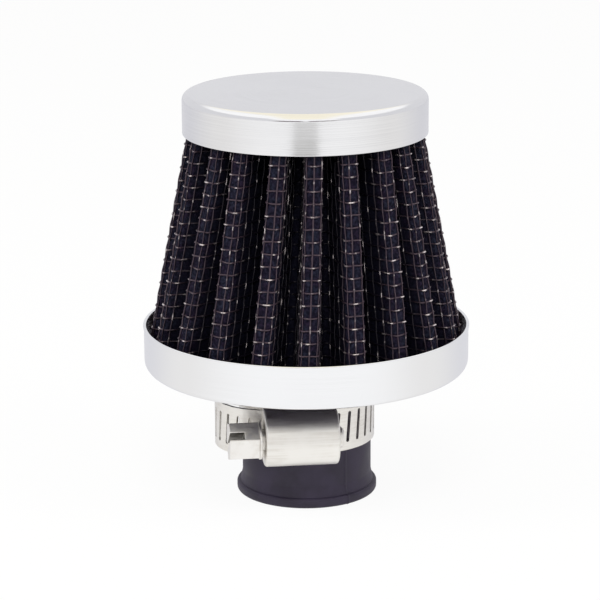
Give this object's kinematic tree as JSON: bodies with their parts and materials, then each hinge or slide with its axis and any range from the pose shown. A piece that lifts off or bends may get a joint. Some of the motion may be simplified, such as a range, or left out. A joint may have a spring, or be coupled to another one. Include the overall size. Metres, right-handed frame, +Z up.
{
  "type": "crankcase breather filter",
  "caption": "Small crankcase breather filter: tapered pleated element behind wire screen, chrome cap and base ring, and a rubber spigot held on a vent pipe by a worm-drive clamp.",
  "frame": {"origin": "centre of the rubber spigot's open end, on the filter's axis; the part stands on that end", "axes": "+Z up the filter's axis from spigot to cap; -Y is the front, where the clamp's screw lies across"},
  "size_m": [0.0512, 0.0512, 0.064],
  "materials": {
    "rubber": "satin moulded rubber",
    "chrome": "bright chrome on pressed metal",
    "gauze": "dark oiled gauze",
    "wire": "dark coated wire screen",
    "clamp_steel": "satin stainless steel",
    "screw_steel": "bright plated steel"
  },
  "bodies": {
    "filter": {"rubber_base": "rubber", "base_ring": "chrome", "filter_gauze": "gauze", "outer_screen": "wire", "inner_screen": "wire", "end_disc": "rubber", "top_cap": "chrome", "clamp_band": "clamp_steel", "clamp_housing": "clamp_steel"},
    "screw": {"clamp_screw": "screw_steel"}
  },
  "joints": [
    {"name": "screw_turn", "type": "hinge", "parent": "filter", "child": "screw", "pos_m": [0.00174, -0.01419, 0.0127], "axis": [0.9925, 0.1219, 0], "range_deg": [-1530, 270]}
  ]
}
